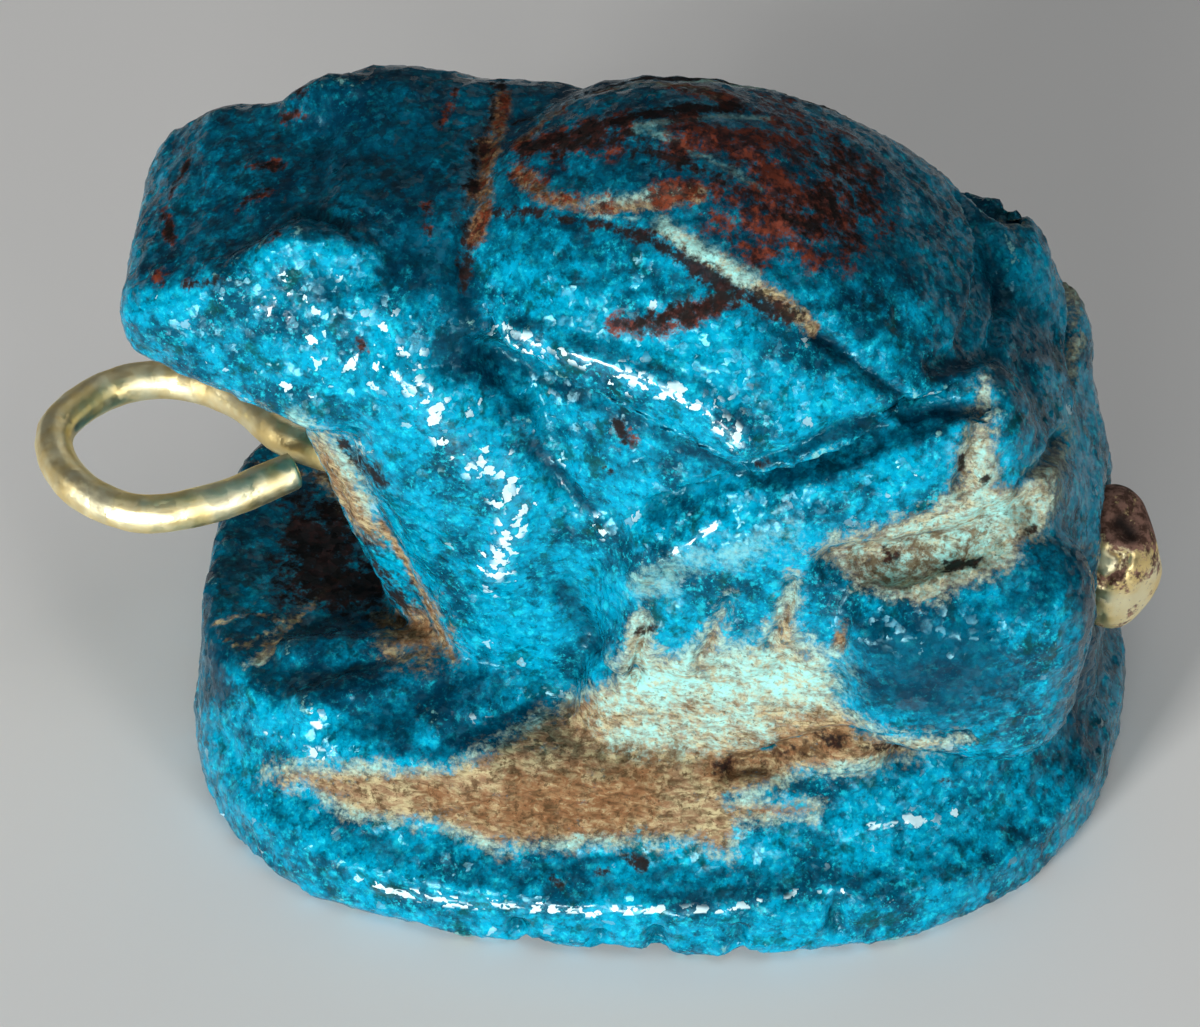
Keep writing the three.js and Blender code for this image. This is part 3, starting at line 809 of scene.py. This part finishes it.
sugar_facets.links.new(calculated(sugar_facets, "MULTIPLY", tone, 0.5), leave.inputs["Tone"])
sugar_facets.links.new(calculated(sugar_facets, "ADD", cells.outputs["Color"]), leave.inputs["Pick"])


def place_group(tree, group, **values):
    node = tree.nodes.new("ShaderNodeGroup")
    node.node_tree = group
    for label, value in values.items():
        socket = node.inputs[label.replace("_", " ")]
        if isinstance(value, bpy.types.NodeSocket):
            tree.links.new(value, socket)
        else:
            socket.default_value = value
    return node


def mask_value(tree, name):
    return add(tree, "Attribute", attribute_name=name, attribute_type="GEOMETRY").outputs["Fac"]


def broken_mask(tree, name, spread, softness, scale=6000.0):
    node = place_group(
        tree, flecked_edge, Mask=mask_value(tree, name), Spread=spread, Softness=softness, Fleck_Scale=scale
    )
    return node.outputs[0]


# %% [markdown]
# ## The blue glaze
# The glaze is glass full of tiny grains. Its colour runs from deep blue, where it is thick, through
# bright blue to turquoise, where it is thin. The colours are mixed from noise and the ridge and
# hollow masks, then the painted shade, the painted glints and the milky, bare and crusted places
# are laid over, in that order.
# The facets turn the surface a little from grain to grain, so that some of them flash white.

# %% Glaze colours
def colour(red, green, blue):
    """A colour from the usual 0 to 255 numbers, as the shader wants it."""
    def linear(value):
        value = value / 255
        return value / 12.92 if value <= 0.04045 else ((value + 0.055) / 1.055) ** 2.4
    return (linear(red), linear(green), linear(blue), 1)


DEEP_BLUE = colour(0, 70, 94)
BRIGHT_BLUE = colour(0, 142, 176)
TURQUOISE = colour(30, 196, 214)
PIT_BLUE = colour(0, 30, 40)
STAIN_GREEN = colour(4, 58, 50)
# The next colour is the dark blue of the painted shade.
SHADE_BLUE = colour(0, 38, 58)
MINT = colour(144, 208, 202)
# The next colour is the white of the painted glints.
GLINT_WHITE = colour(208, 238, 242)
STRAW = colour(176, 164, 124)
TAN = colour(134, 106, 78)
BROWN = colour(70, 50, 26)
OCHRE_BROWN = colour(120, 78, 44)
RUST_RED = colour(112, 46, 20)
NEAR_BLACK_BROWN = colour(26, 14, 8)
DARK_RUST = colour(46, 18, 10)

# %% Glaze material
glaze, nodes, surface = new_material("blue_glaze")
here = coordinates(nodes)
facets = place_group(nodes, sugar_facets, Facet_Scale=6000.0, Tilt=0.46)

clouds = noise(nodes, here, 900.0, 5.0, 0.65)
mottle = noise(nodes, here, 4200.0, 4.0, 0.7)
specks = noise(nodes, here, 9500.0, 3.0, 0.7)
stains = noise(nodes, here, 1500.0, 4.0, 0.7)
lying = add(nodes, "Mapping", {"Vector": here, "Scale": (1.0, 1.6, 2.6)}).outputs[0]
fibres = noise(nodes, lying, 2600.0, 5.0, 0.75)
strands = noise(nodes, lying, 3400.0, 4.0, 0.65, 0.8)
hollow = mask_value(nodes, "hollow")
ridge = mask_value(nodes, "ridge")

blue = mixed(nodes, ranged(nodes, clouds, 0.38, 0.56), DEEP_BLUE, BRIGHT_BLUE)
blue = mixed(nodes, ranged(nodes, mottle, 0.52, 0.7, 0.0, 0.6), blue, TURQUOISE)
blue = mixed(nodes, ranged(nodes, specks, 0.56, 0.68, 0.0, 0.6), blue, TURQUOISE)
blue = mixed(nodes, ranged(nodes, facets.outputs["Tone"], 0.46, 0.66, 0.0, 0.35), blue, PIT_BLUE)
blue = mixed(nodes, ranged(nodes, mottle, 0.47, 0.32, 0.0, 0.62), blue, PIT_BLUE)
blue = mixed(nodes, ranged(nodes, stains, 0.54, 0.66, 0.0, 0.7), blue, STAIN_GREEN)
blue = mixed(nodes, calculated(nodes, "MULTIPLY", hollow, 0.55), blue, PIT_BLUE)
# Painted shade: the shade mask darkens the blue where shade falls.
painted_shade = broken_mask(nodes, "painted_shade", 0.5, 0.4)
blue = mixed(nodes, calculated(nodes, "MULTIPLY", painted_shade, 0.8), blue, SHADE_BLUE)
faint_ridge = calculated(nodes, "MULTIPLY", ridge, 0.4)
thin_ridge = place_group(nodes, flecked_edge, Mask=faint_ridge, Spread=0.45)
blue = mixed(nodes, calculated(nodes, "MULTIPLY", thin_ridge.outputs[0], 0.5), blue, MINT)

# Painted glints: grains picked at random, many more on the glossy marks, are painted white, and fewer in the
# painted shade.
glint_pick = calculated(nodes, "MULTIPLY", mask_value(nodes, "gloss_and_glints"), 0.42)
glint_pick = calculated(nodes, "ADD", facets.outputs["Pick"], glint_pick)
painted_glint = ranged(nodes, glint_pick, 0.9, 1.0, 0.0, 0.85)
painted_glint = calculated(nodes, "MULTIPLY", painted_glint, ranged(nodes, mask_value(nodes, "painted_shade"), 0.6, 0.2))
blue = mixed(nodes, painted_glint, blue, GLINT_WHITE)

milky = broken_mask(nodes, "pale_glaze", 0.6, 0.4, 8000.0)
bare = broken_mask(nodes, "bare_body", 0.62, 0.3, 8000.0)
ochre = broken_mask(nodes, "ochre", 0.6, 0.35, 7000.0)
# This mask holds the crusts, and also the painted shade of the chest cavity.
crust_and_cavity_shade = broken_mask(nodes, "earth_and_cavity_shade", 1.0, 0.3, 6000.0)
rust = broken_mask(nodes, "rust", 1.1, 0.3, 6500.0)

mint_tone = mixed(nodes, ranged(nodes, mottle, 0.48, 0.64, 0.0, 0.7), MINT, STRAW)
tan_strands = ranged(nodes, strands, 0.48, 0.68, 0.0, 0.6)
mint_tone = mixed(nodes, tan_strands, mint_tone, TAN)
mint_tone = mixed(nodes, ranged(nodes, specks, 0.57, 0.68, 0.0, 0.6), mint_tone, BROWN)
body_tone = mixed(nodes, ranged(nodes, fibres, 0.36, 0.58), STRAW, TAN)
body_tone = mixed(nodes, calculated(nodes, "MULTIPLY", ochre, 0.8), body_tone, OCHRE_BROWN)
body_tone = mixed(nodes, ranged(nodes, strands, 0.44, 0.66, 0.0, 0.75), body_tone, BROWN)
body_tone = mixed(nodes, ranged(nodes, strands, 0.46, 0.32, 0.0, 0.5), body_tone, STRAW)
body_tone = mixed(nodes, ranged(nodes, mottle, 0.56, 0.68, 0.0, 0.7), body_tone, BROWN)
body_tone = mixed(nodes, ranged(nodes, specks, 0.55, 0.66, 0.0, 0.75), body_tone, BROWN)
body_tone = mixed(nodes, milky, body_tone, mint_tone)
hollow_dirt = calculated(nodes, "MULTIPLY", hollow, ranged(nodes, mottle, 0.44, 0.6, 0.05, 0.7))
body_tone = mixed(nodes, hollow_dirt, body_tone, BROWN)
# Near black to dark rust: the colour of the crusts and of the painted shade in the chest cavity.
earth_and_shade_tone = mixed(nodes, ranged(nodes, mottle, 0.46, 0.64), NEAR_BLACK_BROWN, DARK_RUST)
rust_tone = mixed(nodes, ranged(nodes, mottle, 0.4, 0.6), DARK_RUST, RUST_RED)

final_colour = mixed(nodes, calculated(nodes, "MULTIPLY", milky, 0.55), blue, mint_tone)
final_colour = mixed(nodes, bare, final_colour, body_tone)
final_colour = mixed(nodes, calculated(nodes, "MULTIPLY", rust, 0.95), final_colour, rust_tone)
final_colour = mixed(nodes, calculated(nodes, "MULTIPLY", crust_and_cavity_shade, 0.96), final_colour, earth_and_shade_tone)
nodes.links.new(final_colour, surface.inputs["Base Color"])

earthy = calculated(nodes, "MAXIMUM", crust_and_cavity_shade, calculated(nodes, "MULTIPLY", rust, 0.7))
dull = calculated(nodes, "MAXIMUM", bare, earthy)
gloss = ranged(nodes, clouds, 0.42, 0.6, 0.24, 0.1)
rough = add(nodes, "Mix", {0: dull, 2: gloss, 3: 0.85}, data_type="FLOAT").outputs[0]
nodes.links.new(rough, surface.inputs["Roughness"])
surface.inputs["IOR"].default_value = 1.5
surface.inputs["Specular IOR Level"].default_value = 0.2
surface.inputs["Specular Tint"].default_value = colour(170, 240, 255)
grainy = {"Height": facets.outputs["Height"], "Normal": facets.outputs["Normal"]}
bump = add(nodes, "Bump", {"Strength": 0.3, "Distance": 0.00001, **grainy})
nodes.links.new(bump.outputs[0], surface.inputs["Normal"])
gloss_and_glints = broken_mask(nodes, "gloss_and_glints", 0.7, 0.06, 3600.0)
nodes.links.new(calculated(nodes, "MULTIPLY", gloss_and_glints, 0.9), surface.inputs["Coat Weight"])
surface.inputs["Coat Roughness"].default_value = 0.14
frog.data.materials.append(glaze)
print("glaze nodes:", len(nodes.nodes))


# %% [markdown]
# ## The gold
# Old gold is pale, soft and scratched. The loop is clean from wear, and the knob is dull brown on
# its upper side, with earth and with painted shade.

# %% Gold material
gold, nodes, surface = new_material("pale_gold")
here = coordinates(nodes)
PALE_GOLD = colour(255, 246, 204)
DEEP_GOLD = colour(246, 222, 156)
GOLD_DIRT_AND_SHADE = colour(78, 50, 36)
PINK_EARTH = colour(150, 112, 96)
tone = mixed(nodes, ranged(nodes, noise(nodes, here, 1400.0), 0.35, 0.65), DEEP_GOLD, PALE_GOLD)
# Where the knob is marked, earth and painted shade: brown, dull and hardly metal.
knob_earth_and_shade = place_group(
    nodes, flecked_edge, Mask=mask_value(nodes, "knob"), Spread=0.9, Softness=0.2
)
earth = mixed(nodes, ranged(nodes, noise(nodes, here, 5200.0, 4.0, 0.7), 0.4, 0.62), GOLD_DIRT_AND_SHADE, PINK_EARTH)
earth = mixed(nodes, mask_value(nodes, "black"), earth, NEAR_BLACK_BROWN)
nodes.links.new(mixed(nodes, knob_earth_and_shade.outputs[0], tone, earth), surface.inputs["Base Color"])
metal = add(nodes, "Mix", {0: knob_earth_and_shade.outputs[0], 2: 1.0, 3: 0.1}, data_type="FLOAT").outputs[0]
nodes.links.new(metal, surface.inputs["Metallic"])
smooth = ranged(nodes, noise(nodes, here, 2600.0, 4.0), 0.3, 0.7, 0.36, 0.52)
rough = add(nodes, "Mix", {0: knob_earth_and_shade.outputs[0], 2: smooth, 3: 0.85}, data_type="FLOAT").outputs[0]
nodes.links.new(rough, surface.inputs["Roughness"])
grain = place_group(nodes, sugar_facets, Facet_Scale=2500.0, Tilt=0.2)
scratched = {"Height": grain.outputs["Height"], "Normal": grain.outputs["Normal"]}
bump = add(nodes, "Bump", {"Strength": 0.2, "Distance": 0.00003, **scratched})
nodes.links.new(bump.outputs[0], surface.inputs["Normal"])
wire.data.materials.append(gold)

# %% [markdown]
# ## Floor and light
# The amulet stands on a plain pale floor. The main light is a soft box at the front left, low enough
# to rake over the carving. A weaker one from above keeps the shadows open.

# %% Floor
bpy.ops.object.select_all(action="DESELECT")
bpy.ops.mesh.primitive_plane_add(size=1.6, location=(0, 0, 0))
floor = bpy.context.object
floor.name = "pale_floor"
floor_paint = bpy.data.materials.new("pale_paper")
floor_paint.use_nodes = True
floor_paint.node_tree.nodes["Principled BSDF"].inputs["Base Color"].default_value = colour(246, 244, 240)
floor_paint.node_tree.nodes["Principled BSDF"].inputs["Roughness"].default_value = 0.9
floor.data.materials.append(floor_paint)
floor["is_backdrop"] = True


# %% Lights
def soft_box(name, azimuth, elevation, distance, size, power):
    light = bpy.data.lights.new(name, "AREA")
    light.size = size
    light.energy = power
    lamp = bpy.data.objects.new(name, light)
    bpy.context.scene.collection.objects.link(lamp)
    a, e = math.radians(azimuth), math.radians(elevation)
    way = Vector((math.sin(a) * math.cos(e), -math.cos(a) * math.cos(e), math.sin(e)))
    lamp.location = way * distance + Vector((0, 0, 0.006))
    lamp.rotation_euler = way.to_track_quat("Z", "Y").to_euler()


soft_box("key_box", -22, 10, 0.35, 0.08, 1.4)
soft_box("front_box", 0, 4, 0.35, 0.08, 0.45)
soft_box("fill_box", 38, 16, 0.4, 0.08, 0.3)
soft_box("top_box", 30, 75, 0.5, 0.3, 0.32)
soft_box("back_box", 165, 35, 0.5, 0.25, 0.12)
world = bpy.data.worlds.new("studio_air")
world.use_nodes = True
world.node_tree.nodes["Background"].inputs["Color"].default_value = (0.9, 0.94, 1.0, 1)
world.node_tree.nodes["Background"].inputs["Strength"].default_value = 0.11
bpy.context.scene.world = world
bpy.context.scene.view_settings.view_transform = "Standard"

# %% [markdown]
# ## Sizes
# Both boxes, of the solids and of the dressed amulet, are printed. The dressed amulet may not
# outgrow its solids.

# %% Write the sizes and finish
visual_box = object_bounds()
for label, box in (("cad", cad_box), ("visual", visual_box)):
    print(label, [[round(v / MM, 2) for v in corner] for corner in box])
